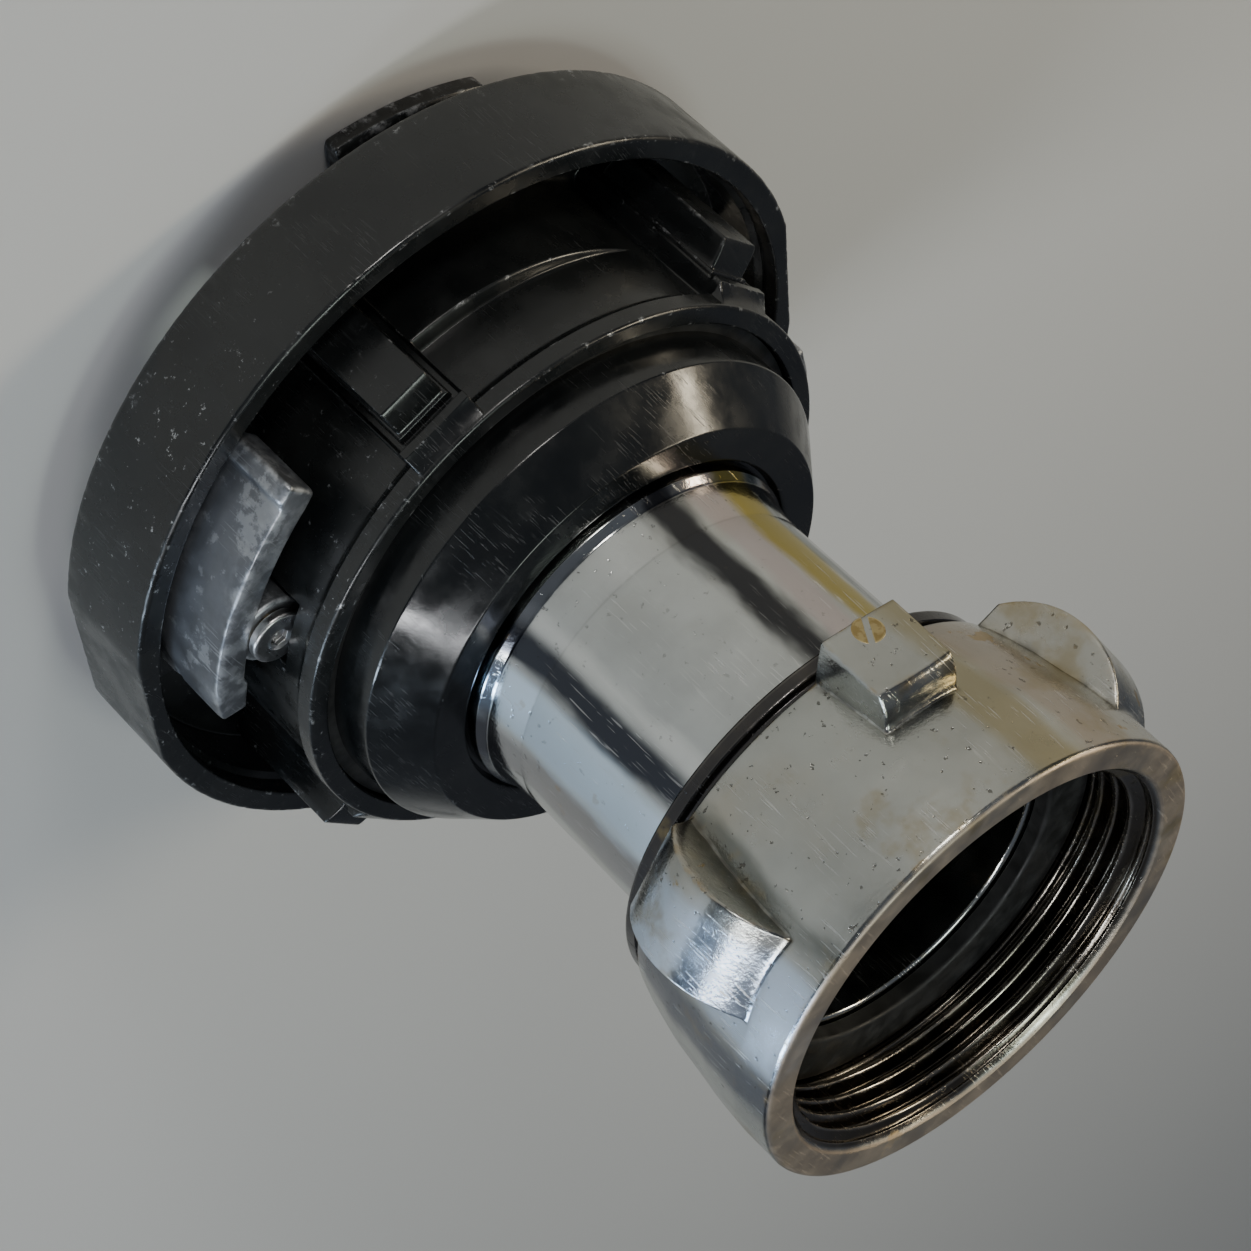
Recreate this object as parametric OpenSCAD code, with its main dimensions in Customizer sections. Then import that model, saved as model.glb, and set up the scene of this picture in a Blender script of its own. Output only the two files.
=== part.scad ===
// Hose adapter: 4 in Storz head with sprung locking levers, reducing to a
// 2.5 in NH female swivel with rocker lugs. Millimetres, +Z from the Storz
// face to the swivel mouth, origin at the centre of the Storz face.

/* [Storz head] */
// Outer radius of the rim
rim_r = 73; // [71:0.5:75]
// Width of the rim along the waterway
rim_width = 21.4; // [20:0.2:23]
// Distance between the inner faces of the two claws
claw_spacing = 115; // [114.6:0.1:115.4]
// How far the claws stand out of the face
claw_reach = 10.3; // [9.8:0.1:11]
// Direction of the first claw, in degrees
claw_angle = -125; // [-128:1:-122]
// Thickness of the slotted web
web_t = 6; // [5.5:0.1:6.2]
// Outer radius of the hub behind the web
hub_r = 54; // [53.6:0.1:54.2]
// Radius of the lip at the back of the hub
lip_r = 55.5; // [55:0.1:56]
// Height of the back face of the lip
lip_top = 45.6; // [45:0.1:46.5]

/* [Locking levers] */
// Direction of the first lever's pivot, in degrees
pivot_angle = -43; // [-44:0.5:-42]
// Distance of the pivots from the waterway axis
pivot_r = 55.8; // [55.7:0.1:55.9]
// Outer radius of the lever's skirt
lever_r = 66; // [65.8:0.1:66]
// Thickness of the lever's skirt
lever_t = 5.8; // [5.4:0.1:5.8]

/* [Waterway] */
// Radius of the throat at the Storz face
throat_r = 40; // [38:0.5:40.5]
// Radius of the waterway through the neck
water_r = 28.5; // [27:0.5:29]
// Outer radius of the neck
neck_r = 32.2; // [31.5:0.1:32.4]
// Outer radius of the reducer's skirt
reducer_r = 49.2; // [48.8:0.1:49.4]
// Height of the reducer's back face
reducer_top = 61.6; // [61:0.1:63]

/* [Swivel] */
// Height of the swivel's mouth
swivel_top = 150; // [149:0.5:152]
// Outer radius of the swivel at its mouth
swivel_r = 45.6; // [45:0.1:47]
// Minor radius of the 2.5 in NH thread
thread_minor_r = 36.65; // [36.6:0.01:36.7]
// Major radius of the 2.5 in NH thread
thread_major_r = 39; // [38.95:0.01:39.1]
// Number of bearing balls
ball_count = 42; // [20:1:44]

/* [Hidden] */
$fn = 96;
eps = 0.1;               // overrun of a cutting tool past the face it cuts
run = 0.06;              // radial running clearance of a turned fit
slack = 0.1;             // end play between turned faces
step = 0.3;              // set-back that keeps joined faces from coinciding

// Storz head
claw_in = claw_spacing / 2;
claw_shank = 5;          // radial thickness of a claw's shank
claw_out = 66;           // outer radius of the hook
hook_t = 4;              // thickness of the hook
claw_half = 14;          // half the angle that a claw spans
slot_in = claw_in - 0.7;
slot_out = claw_out + 0.8;
slot_half = claw_half + 4;
travel = 32;             // how far the mating claw turns past its slot
slot_angle = claw_angle + 90;
rim_in = 67.5;           // bore of the rim behind the web
rim_edge = 1;            // chamfer on the rim's edges
flat_angle = -22;        // direction of the flat on the rim
flat_depth = 1.3;
lug_angles = [claw_angle + 33, claw_angle - 37];
lug_w = 10;              // width of a spanner lug
lug_r = 63.5;
lug_base = 8;
lug_top = 38.5;
pad_w = 14.5;            // width of the pad that carries a lug
pad_r = 57.8;
pad_top = 43.2;
lip_base = 42;
rib_top = 27;            // top of the tapered rib on the hub
rib_r = 49.2;            // radius of the eccentric that forms the rib
rib_shift = 7.8;

// Turned fits of the sleeve
shaft_r = 45;
sleeve_thread_r = 43;
flange_r = 50.9;
flange_t = 6;
washer_t = 1;
shoulder = flange_t + washer_t + slack;
rear_bore_r = 51.8;
rear_floor = 38;
reducer_base = rear_floor + slack + 1.1;
sleeve_top = 46;
cone_top = 50;
neck_cone_r = 34;        // waterway radius where the sleeve meets the reducer
gasket_in = 41.6;
gasket_out = 48.4;
gasket_floor = 4;
gasket_proud = 1.6;

// Levers
ledge_top = 26.5;
spot_face = ledge_top - 0.1; // seat of the pivot's washer
ledge_r = 59.3;
boss_r = 6.6;
boss_base = 27.6;
lever_top = 34;
lever_base = 17.6;
nose_span = 7;           // degrees that the solid nose takes
nose_base = 8;           // lowest point of the tongue under the nose
swell = [-50, -34];      // directions between which the skirt is deeper
lever_start = -72;       // thumb end
lever_end = -26;         // nose
bush_r = 4.2;
pin_r = 2.3;
pin_base = 18;
head_r = 5.2;
head_t = 1.8;
hex_r = 1.8;             // socket of the pivot screw
washer_r = 4.2;
spring_angle = -62;
spring_z = 25.5;
spring_r = 3;
spring_wire = 0.45;
spring_in = 49.3;
lever_in = lever_r - lever_t;

// Neck and swivel
neck_collar_r = 34;
neck_collar_base = 59.6;
neck_head_r = 35.6;
neck_head_base = 112;
neck_top = 130.7;
race_r = 35.65;
race_z = 115;
ball_r = 2.4;
nut_base = 107.5;
nut_bore = neck_head_r + run;
seat_z = 131;
gasket_t = 3.2;
boss_angle = -120.5;     // boss of the ball plug
boss_w = 15;
boss_top_r = 50;
boss_base_z = 110.6;
boss_top_z = 129;
plug_r = 2.9;
lug_height_r = 51.5;     // crest of a rocker lug
rocker_r = 17.5;
rocker_z = 127;
rocker_w = 17;
rocker_angles = [-57, 63, 183];
oring_r = 1.4;
neck_oring_z = 53.5;
inch_pitch = 25.4 / 7.5; // 2.5 in NH has 7.5 threads per inch
first_ridge = 136.5;

// ---- helpers ----

// Tube between two heights
module tube(r_out, r_in, z0, z1)
    difference() {
        translate([0, 0, z0]) cylinder(r = r_out, h = z1 - z0);
        translate([0, 0, z0 - eps]) cylinder(r = r_in, h = z1 - z0 + 2 * eps);
    }

// Part of a tube between two directions
module sector(r_out, r_in, z0, z1, a0, a1)
    rotate([0, 0, a0])
        rotate_extrude(angle = a1 - a0)
            translate([r_in, z0])
                square([r_out - r_in, z1 - z0]);

// Block that stands out radially
module radial_block(angle, width, r_in, r_out, z0, z1)
    rotate([0, 0, angle])
        translate([r_in, -width / 2, z0])
            cube([r_out - r_in, width, z1 - z0]);

// Cylinder along the radius
module radial_pin(angle, z, r_in, r_out, r)
    rotate([0, 0, angle])
        translate([r_in, 0, z])
            rotate([0, 90, 0])
                cylinder(r = r, h = r_out - r_in);

// Rubber ring of round section
module ring_seal(ring_r, z, r)
    rotate_extrude()
        translate([ring_r, z])
            circle(r = r, $fn = 32);

module at_pivot()
    rotate([0, 0, pivot_angle])
        translate([pivot_r, 0, 0])
            children();

// ---- Storz head ----

module collar_blank()
    rotate_extrude()
        polygon([
            [flange_r + 0.3, 0],
            [rim_r - rim_edge, 0],
            [rim_r, rim_edge],
            [rim_r, rim_width - rim_edge],
            [rim_r - rim_edge, rim_width],
            [rim_in + 1, rim_width],
            [rim_in + 1, rim_width - 4],
            [rim_in, rim_width - 5],
            [rim_in, web_t],
            [hub_r, web_t],
            [hub_r, lip_base - 1.5],
            [lip_r, lip_base],
            [lip_r, lip_top - 0.6],
            [lip_r - 0.6, lip_top],
            [rear_bore_r + 0.4, lip_top],
            [rear_bore_r, lip_top - 0.4],
            [rear_bore_r, rear_floor],
            [shaft_r, rear_floor],
            [shaft_r, shoulder],
            [flange_r + 0.3, shoulder]
        ]);

module claw()
    rotate([0, 0, claw_angle - claw_half])
        rotate_extrude(angle = 2 * claw_half)
            polygon([
                [claw_in, -claw_reach],
                [claw_out, -claw_reach],
                [claw_out, hook_t - claw_reach],
                [claw_in + claw_shank, hook_t - claw_reach],
                [claw_in + claw_shank, web_t / 2],
                [claw_in, web_t / 2]
            ]);

// Slot for the mating claw: a wide entry and a narrower run beside it
module kidney_slot()
    union() {
        sector(slot_out, slot_in + 2, -2 * eps, web_t + 2 * eps,
               slot_angle - slot_half, slot_angle + slot_half);
        sector(claw_in + claw_shank + 0.7, slot_in, -eps, web_t + eps,
               slot_angle - slot_half - travel, slot_angle + slot_half - step);
    }

module spanner_lug(angle)
    union() {
        radial_block(angle, pad_w, hub_r - 2, pad_r, web_t - 1, pad_top);
        radial_block(angle, lug_w, hub_r - 2, lug_r, lug_base, lug_top);
    }

// Rib that runs out into the hub
module tapered_rib()
    intersection() {
        sector(pad_r, hub_r - 1, web_t - 1, rib_top, lug_angles[0] - 60, lug_angles[0]);
        rotate([0, 0, lug_angles[0] - 7])
            translate([rib_shift, 0, 0])
                cylinder(r = rib_r, h = rib_top + 1);
    }

module pivot_ledge()
    sector(ledge_r, hub_r - 1, web_t - 1, ledge_top, pivot_angle - 4.5, pivot_angle + 14);

module half_head_adds() {
    claw();
    for (angle = lug_angles)
        spanner_lug(angle);
    tapered_rib();
    pivot_ledge();
}

module half_head_cuts() {
    kidney_slot();
    at_pivot() {
        translate([0, 0, pin_base]) cylinder(r = pin_r, h = ledge_top + 1 - pin_base);
        translate([0, 0, spot_face])
            cylinder(r = boss_r + 0.6, h = lever_top + head_t + 0.6 - spot_face);
    }
    radial_pin(spring_angle, spring_z, spring_in - 0.2, hub_r + 1, spring_r + 0.4);
    rotate([0, 0, flat_angle])
        translate([rim_r - flat_depth, -rim_r / 2, -eps])
            cube([5, rim_r, rim_width + 2 * eps]);
}

module storz_collar()
    color([0.09, 0.09, 0.1])
        difference() {
            union() {
                collar_blank();
                for (turn = [0, 180])
                    rotate([0, 0, turn]) half_head_adds();
            }
            for (turn = [0, 180])
                rotate([0, 0, turn]) half_head_cuts();
        }

module storz_sleeve()
    color([0.12, 0.12, 0.13])
        difference() {
            rotate_extrude()
                polygon([
                    [throat_r + 0.5, 0],
                    [flange_r - 0.5, 0],
                    [flange_r, 0.5],
                    [flange_r, flange_t],
                    [shaft_r - run, flange_t],
                    [shaft_r - run, reducer_base],
                    [sleeve_thread_r, reducer_base],
                    [sleeve_thread_r, sleeve_top],
                    [neck_cone_r, sleeve_top],
                    [throat_r, sleeve_top - 12],
                    [throat_r, 0.5]
                ]);
            tube(gasket_out, gasket_in, -eps, gasket_floor);
            ring_seal(sleeve_thread_r, reducer_base + 2.5, oring_r);
        }

module storz_gasket()
    color([0.05, 0.05, 0.05])
        rotate_extrude()
            polygon([
                [gasket_in + 0.1, gasket_floor],
                [gasket_in + 0.1, -gasket_proud + 0.4],
                [gasket_in + 0.5, -gasket_proud],
                [gasket_out - 2.4, -gasket_proud],
                [gasket_out - 1.6, -0.4],
                [gasket_out - 0.1, 0.6],
                [gasket_out - 0.1, gasket_floor]
            ]);

module thrust_washer()
    color([0.85, 0.84, 0.8])
        tube(flange_r, shaft_r, flange_t, flange_t + washer_t);

module bearing_ring()
    color([0.85, 0.84, 0.8])
        tube(reducer_r - 0.4, shaft_r + 0.05, rear_floor + slack, reducer_base);

module dust_seal()
    color([0.04, 0.04, 0.04])
        tube(rear_bore_r - 0.3, reducer_r, reducer_base + 0.2, lip_top - 1.8);

module sleeve_oring()
    color([0.04, 0.04, 0.04])
        ring_seal(sleeve_thread_r, reducer_base + 2.5, oring_r - 0.02);

// ---- Reducer and neck ----

module reducer_body()
    color([0.1, 0.1, 0.11])
        difference() {
            rotate_extrude()
                polygon([
                    [sleeve_thread_r, reducer_base],
                    [reducer_r, reducer_base],
                    [reducer_r, 51.6],
                    [reducer_r - 0.5, 52.4],
                    [42.6, reducer_top - 0.8],
                    [41.6, reducer_top],
                    [neck_collar_r + 0.7, reducer_top],
                    [neck_collar_r + 0.7, neck_collar_base],
                    [neck_r, neck_collar_base],
                    [neck_r, cone_top],
                    [water_r, cone_top],
                    [neck_cone_r, sleeve_top],
                    [sleeve_thread_r, sleeve_top]
                ]);
            ring_seal(sleeve_thread_r, reducer_base + 2.5, oring_r);
            ring_seal(neck_r, neck_oring_z, oring_r);
            radial_pin(90, 57, neck_r - eps, reducer_r + 1, 2);
        }

module neck_oring()
    color([0.04, 0.04, 0.04])
        ring_seal(neck_r, neck_oring_z, oring_r - 0.02);

module neck_lock_screw()
    color([0.35, 0.35, 0.36])
        difference() {
            radial_pin(90, 57, neck_r, 43.5, 2);
            rotate([0, 0, 90])
                translate([41, 0, 57])
                    rotate([0, 90, 0])
                        cylinder(r = 1.15, h = 4, $fn = 6);
        }

module neck_tube()
    color([0.8, 0.81, 0.82])
        difference() {
            rotate_extrude()
                polygon([
                    [water_r, cone_top],
                    [neck_r, cone_top],
                    [neck_r, neck_collar_base],
                    [neck_collar_r, neck_collar_base],
                    [neck_collar_r, 62.5],
                    [neck_collar_r - 0.5, 63],
                    [neck_r + 0.3, 64],
                    [neck_r - 0.3, 72],
                    [neck_r, 100],
                    [neck_r, neck_head_base],
                    [neck_head_r - 0.4, neck_head_base],
                    [neck_head_r, neck_head_base + 0.4],
                    [neck_head_r, neck_top - 0.6],
                    [neck_head_r - 0.6, neck_top],
                    [water_r + 0.8, neck_top],
                    [water_r, neck_top - 0.8]
                ]);
            ring_seal(neck_r, neck_oring_z, oring_r);
            ring_seal(race_r, race_z, ball_r + 0.05);
        }

// ---- Swivel ----

module nut_blank()
    rotate_extrude()
        polygon([
            [nut_bore, nut_base],
            [38.6, nut_base],
            [39.2, nut_base + 0.6],
            [39.2, nut_base + 2.4],
            [38.2, nut_base + 3],
            [38.2, nut_base + 4.4],
            [40.6, nut_base + 5],
            [41.6, 116],
            [43.4, 124],
            [44.9, 134],
            [swivel_r, 142],
            [swivel_r, swivel_top - 1.2],
            [swivel_r - 1.2, swivel_top],
            [thread_major_r + 1.3, swivel_top],
            [thread_major_r, swivel_top - 1.3],
            [thread_major_r, seat_z],
            [nut_bore, seat_z]
        ]);

// Rocker lug: a half-moon crest across the nut
module rocker_lug(angle)
    rotate([0, 0, angle])
        intersection() {
            translate([lug_height_r - rocker_r, rocker_w / 2, rocker_z])
                rotate([90, 0, 0])
                    cylinder(r = rocker_r, h = rocker_w);
            translate([nut_bore + 3, -rocker_w / 2, rocker_z - 14])
                cube([15, rocker_w, 28]);
        }

module plug_boss()
    difference() {
        radial_block(boss_angle, boss_w, nut_bore + 3, boss_top_r, boss_base_z, boss_top_z);
        rotate([0, 0, boss_angle])
            translate([boss_top_r - 1.5, 0, boss_top_z])
                rotate([0, 30, 0])
                    translate([0, -boss_w, 0])
                        cube([8, 2 * boss_w, 8]);
    }

// One full-form thread crest
module thread_ridge(z)
    rotate_extrude()
        polygon([
            [thread_major_r + 0.2, z - 1.6],
            [thread_major_r, z - 1.6],
            [thread_minor_r, z - 0.25],
            [thread_minor_r, z + 0.25],
            [thread_major_r, z + 1.6],
            [thread_major_r + 0.2, z + 1.6]
        ]);

module swivel_nut()
    color([0.78, 0.79, 0.8])
        difference() {
            union() {
                nut_blank();
                for (angle = rocker_angles)
                    rocker_lug(angle);
                plug_boss();
                for (k = [0:3])
                    thread_ridge(first_ridge + k * inch_pitch);
            }
            ring_seal(race_r, race_z, ball_r + 0.05);
            radial_pin(boss_angle, race_z, race_r, boss_top_r + 2, plug_r);
        }

module race_balls()
    color([0.75, 0.75, 0.77])
        for (k = [0:ball_count - 1])
            rotate([0, 0, boss_angle + (k + 0.5) * 360 / ball_count])
                translate([race_r, 0, race_z])
                    sphere(r = ball_r, $fn = 32);

module ball_plug()
    color([0.66, 0.52, 0.25])
        difference() {
            radial_pin(boss_angle, race_z, race_r + ball_r + 0.3, boss_top_r + 0.2, plug_r);
            radial_block(boss_angle, 0.9, boss_top_r - 1, boss_top_r + 1, race_z - 4, race_z + 4);
        }

module grease_seal()
    color([0.04, 0.04, 0.04])
        tube(nut_bore, neck_r + 0.3, nut_base + 1.6, nut_base + 4.1);

module swivel_gasket()
    color([0.06, 0.06, 0.06])
        tube(thread_major_r - 3 * slack, water_r + 1.2, seat_z + slack / 2, seat_z + gasket_t);

// ---- Locking levers ----

module lever_blank()
    union() {
        sector(lever_r, lever_in, lever_base, lever_top, lever_start, lever_end);
        sector(lever_r - step, lever_in + step, lever_base - 1.6, lever_base + 1,
               swell[0], swell[1]);
        sector(lever_r - step, ledge_r + 0.15, lever_base + 1, lever_top - step,
               lever_end - nose_span, lever_end - step);
        sector(lever_r - 2 * step, lever_in + step, nose_base, lever_base + 2,
               lever_end - nose_span + 1, lever_end - 1);
        sector(lever_r + 1.5, lever_in + 1, lever_base + 0.5, lever_top - 0.4,
               lever_start + step, lever_start + 4);
        at_pivot()
            translate([0, 0, boss_base])
                cylinder(r = boss_r, h = lever_top - step - boss_base);
    }

module lever()
    color([0.5, 0.51, 0.53])
        difference() {
            lever_blank();
            at_pivot() translate([0, 0, boss_base - eps]) cylinder(r = bush_r, h = 8);
        }

module bush()
    color([0.66, 0.52, 0.25])
        at_pivot() tube(bush_r, pin_r + 0.05, boss_base, lever_top + slack);

module pivot_screw()
    color([0.55, 0.55, 0.56])
        at_pivot()
            difference() {
                union() {
                    translate([0, 0, pin_base]) cylinder(r = pin_r, h = lever_top + 1 - pin_base);
                    translate([0, 0, lever_top + 2 * slack]) cylinder(r = head_r, h = head_t);
                }
                translate([0, 0, lever_top + 0.8])
                    cylinder(r = hex_r, h = head_t, $fn = 6);
            }

module washer()
    color([0.6, 0.6, 0.61])
        at_pivot() tube(washer_r, pin_r, spot_face, boss_base - slack);

// Compression spring that pushes the thumb end outwards
module spring()
    color([0.45, 0.45, 0.47])
        rotate([0, 0, spring_angle])
            translate([spring_in + spring_wire, 0, spring_z])
                rotate([0, 90, 0])
                    linear_extrude(height = lever_in - spring_in - 2 * spring_wire - 0.2,
                                   twist = -360 * 5, slices = 60, $fn = 6)
                        translate([spring_r - spring_wire, 0])
                            circle(r = spring_wire, $fn = 6);

module lock_lever_a() lever();
module lock_lever_b() rotate([0, 0, 180]) lever();
module lever_bush_a() bush();
module lever_bush_b() rotate([0, 0, 180]) bush();
module pivot_screw_a() pivot_screw();
module pivot_screw_b() rotate([0, 0, 180]) pivot_screw();
module lever_washer_a() washer();
module lever_washer_b() rotate([0, 0, 180]) washer();
module lever_spring_a() spring();
module lever_spring_b() rotate([0, 0, 180]) spring();

storz_collar();
storz_sleeve();
storz_gasket();
thrust_washer();
bearing_ring();
dust_seal();
sleeve_oring();
reducer_body();
neck_oring();
neck_lock_screw();
neck_tube();
grease_seal();
swivel_nut();
race_balls();
ball_plug();
swivel_gasket();
lock_lever_a();
lock_lever_b();
lever_bush_a();
lever_bush_b();
pivot_screw_a();
pivot_screw_b();
lever_washer_a();
lever_washer_b();
lever_spring_a();
lever_spring_b();
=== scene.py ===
"""Looks of the hose adapter: a black quick-connect head, a plated neck and a rocker-lug swivel."""

import math

import bmesh
import bpy
import numpy as np
from mathutils import Matrix, Vector


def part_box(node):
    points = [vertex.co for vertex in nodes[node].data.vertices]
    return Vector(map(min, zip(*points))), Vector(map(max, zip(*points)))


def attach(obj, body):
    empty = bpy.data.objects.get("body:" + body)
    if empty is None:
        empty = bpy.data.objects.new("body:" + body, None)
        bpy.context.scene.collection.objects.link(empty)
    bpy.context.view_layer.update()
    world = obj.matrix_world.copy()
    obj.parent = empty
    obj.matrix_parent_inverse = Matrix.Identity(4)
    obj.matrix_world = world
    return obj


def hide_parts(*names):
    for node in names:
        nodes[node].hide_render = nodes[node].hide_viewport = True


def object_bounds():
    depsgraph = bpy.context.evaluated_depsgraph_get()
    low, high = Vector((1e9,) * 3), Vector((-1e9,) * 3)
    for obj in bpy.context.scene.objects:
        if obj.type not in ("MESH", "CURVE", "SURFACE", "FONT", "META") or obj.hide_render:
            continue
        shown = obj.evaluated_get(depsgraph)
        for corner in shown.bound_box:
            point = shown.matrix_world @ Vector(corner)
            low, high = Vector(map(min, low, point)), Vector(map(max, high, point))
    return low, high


MM = 0.001
AXIS_R = 0.02                # radius of the tiny hole that a turned solid has on its axis
ARC_BAR_R = 62               # typical radius of the bars that are swept along an arc
NUT_BORE, NUT_BASE, MOUTH = 35.66, 107.5, 150
MINOR, MAJOR, PITCH = 36.65, 39, 25.4 / 7.5      # radii and pitch of the thread
SEAT = 131                   # height of the gasket's seat at the foot of the thread
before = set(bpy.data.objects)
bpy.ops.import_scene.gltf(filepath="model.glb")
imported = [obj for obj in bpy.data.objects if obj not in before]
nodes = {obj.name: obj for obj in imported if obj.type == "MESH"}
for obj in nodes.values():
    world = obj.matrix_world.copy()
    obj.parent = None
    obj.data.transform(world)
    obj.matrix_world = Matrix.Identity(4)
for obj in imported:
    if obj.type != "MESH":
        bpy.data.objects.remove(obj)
cad_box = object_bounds()
scene = bpy.context.scene


# ---------------------------------------------------------------- mesh tools

def fillet_loop(corners, arc=5, support=0.12):
    """Closed outline of (r, z, fillet) corners as points, with a support point beside each arc."""
    points = []
    count = len(corners)
    for i, (r, z, fillet) in enumerate(corners):
        here = np.array([r, z], float)
        back = np.array(corners[i - 1][:2], float) - here
        ahead = np.array(corners[(i + 1) % count][:2], float) - here
        back_len, ahead_len = np.linalg.norm(back), np.linalg.norm(ahead)
        back, ahead = back / back_len, ahead / ahead_len
        turn = math.acos(max(-1.0, min(1.0, float(back @ ahead))))
        if fillet <= 0 or turn > math.pi - 0.02:
            points.append(here)
            continue
        reach = min(fillet / math.tan(turn / 2), 0.48 * back_len, 0.48 * ahead_len)
        radius = reach * math.tan(turn / 2)
        middle = (back + ahead) / np.linalg.norm(back + ahead)
        centre = here + middle * radius / math.sin(turn / 2)
        start, end = here + back * reach, here + ahead * reach
        if 0.48 * back_len > reach + support:
            points.append(start + back * support)
        a0 = math.atan2(*(start - centre)[::-1])
        a1 = math.atan2(*(end - centre)[::-1])
        sweep = (a1 - a0 + math.pi) % (2 * math.pi) - math.pi
        for k in range(arc + 1):
            a = a0 + sweep * k / arc
            points.append(centre + radius * np.array([math.cos(a), math.sin(a)]))
        if 0.48 * ahead_len > reach + support:
            points.append(end + ahead * support)
    return points


def subdivide(points, longest):
    """Closed outline with no edge longer than the given number of mm."""
    out = []
    for i, p in enumerate(points):
        q = points[(i + 1) % len(points)]
        n = max(1, math.ceil(np.linalg.norm(q - p) / longest))
        out += [p + (q - p) * k / n for k in range(n)]
    return out


def around(count, dense=()):
    """Directions in radians: evenly spread, and closer at each (centre, spread, step) in degrees."""
    angles = set(np.round(np.linspace(0, 360, count, endpoint=False), 4))
    for centre, spread, step in dense:
        angles |= set(np.round(np.arange(centre - spread, centre + spread, step) % 360, 4))
    kept = []
    for a in sorted(angles):
        if not kept or a - kept[-1] > 0.05:
            kept.append(a)
    return np.radians(np.array(kept))


def new_object(name, verts, faces):
    mesh = bpy.data.meshes.new(name)
    mesh.from_pydata([tuple(v) for v in verts], [], faces)
    mesh.update()
    obj = bpy.data.objects.new(name, mesh)
    scene.collection.objects.link(obj)
    tool = bmesh.new()
    tool.from_mesh(mesh)
    bmesh.ops.recalc_face_normals(tool, faces=tool.faces)
    tool.to_mesh(mesh)
    tool.free()
    mesh.polygons.foreach_set("use_smooth", [True] * len(mesh.polygons))
    return obj


def turned(name, outline, angles, move=None, holes=None):
    """Solid of revolution. move(r, z, angle) may shift its points, and holes says which cells are cut."""
    loop = np.array(outline)
    rows, columns = len(loop), len(angles)
    r = np.repeat(loop[:, 0:1], columns, axis=1)
    z = np.repeat(loop[:, 1:2], columns, axis=1)
    t = np.repeat(angles[None, :], rows, axis=0)
    if move:
        r, z = move(r, z, t)
    xyz = np.stack([r * np.cos(t), r * np.sin(t), z], axis=-1).reshape(-1, 3) * MM
    faces = []
    cut = holes(loop, angles) if holes else {}
    for i in range(rows):
        below = (i + 1) % rows
        for j in range(columns):
            k = (j + 1) % columns
            if (i, j) not in cut:
                faces.append((i * columns + j, i * columns + k, below * columns + k, below * columns + j))
    for (i, j), (i2, _) in cut.items():
        if i > i2:
            continue
        k = (j + 1) % columns
        low, high = (i, i + 1), (i2 + 1, i2)
        for neighbour, column in (((i, (j - 1) % columns), j), ((i, k), k)):
            if neighbour not in cut:
                faces.append(tuple(row * columns + column for row in (low[0], low[1], high[1], high[0])))
        for step, (a, b) in ((-1, (low[0], high[0])), (1, (low[1], high[1]))):
            if (i + step, j) not in cut:
                faces.append((a * columns + j, a * columns + k, b * columns + k, b * columns + j))
    return new_object(name, xyz, faces)


def smin(a, b, k):
    """The smaller of two values, with a rounded change of width k from one to the other."""
    h = np.clip(0.5 + 0.5 * (b - a) / k, 0, 1)
    return b * (1 - h) + a * h - k * h * (1 - h)


def smax(a, b, k):
    return -smin(-a, -b, k)


def off(t, degrees):
    """Signed angle in radians from a direction given in degrees."""
    return (t - math.radians(degrees) + math.pi) % (2 * math.pi) - math.pi


def block(t, z, degrees, half, top, z0, z1, base, draft=9, edge=1.0):
    """Radius of a raised block's surface: half its width, its top and its two ends, with rounded edges."""
    a = off(t, degrees)
    front = np.cos(a) > 0.3
    crown = top / np.maximum(np.cos(a), 0.3)
    side = np.where(front, half / np.maximum(np.abs(np.sin(a)), 1e-4), 0)
    ends = smin(base + (z1 - z) * draft, base + (z - z0) * draft, edge * 3)
    return np.where(front, smin(smin(crown, side, edge), ends, edge * 4), 0)


def smooth_step(x, low, high):
    t = np.clip((x - low) / (high - low), 0, 1)
    return t * t * (3 - 2 * t)


def edge_wear(obj, radius=0.6, spread=2):
    """Stores on each point how sharply the surface turns outwards there (wear) and inwards (concavity)."""
    mesh = obj.data
    count = len(mesh.vertices)
    co = np.empty(count * 3)
    mesh.vertices.foreach_get("co", co)
    normal = np.empty(count * 3)
    mesh.vertices.foreach_get("normal", normal)
    co, normal = co.reshape(-1, 3) / MM, normal.reshape(-1, 3)
    ends = np.empty(len(mesh.edges) * 2, int)
    mesh.edges.foreach_get("vertices", ends)
    a, b = ends.reshape(-1, 2).T
    step = co[b] - co[a]
    length = np.maximum(np.linalg.norm(step, axis=1), 1e-6)
    turn_a = -2 * np.einsum("ij,ij->i", step, normal[a]) / length ** 2
    turn_b = 2 * np.einsum("ij,ij->i", step, normal[b]) / length ** 2
    most = np.zeros(count)
    np.maximum.at(most, a, turn_a)
    np.maximum.at(most, b, turn_b)
    least = np.zeros(count)
    np.minimum.at(least, a, turn_a)
    np.minimum.at(least, b, turn_b)
    for name, values in (("wear", most), ("concavity", -least)):
        values = np.clip(values * radius, 0, 1)
        for _ in range(spread):
            total, seen = values.copy(), np.ones(count)
            np.add.at(total, a, values[b])
            np.add.at(total, b, values[a])
            np.add.at(seen, a, 1)
            np.add.at(seen, b, 1)
            values = np.maximum(values * 0.8, total / seen)
        layer = mesh.attributes.new(name, "FLOAT", "POINT")
        layer.data.foreach_set("value", values.astype(np.float32))


def shifted(obj, matrix):
    obj.data.transform(matrix)
    return obj


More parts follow.
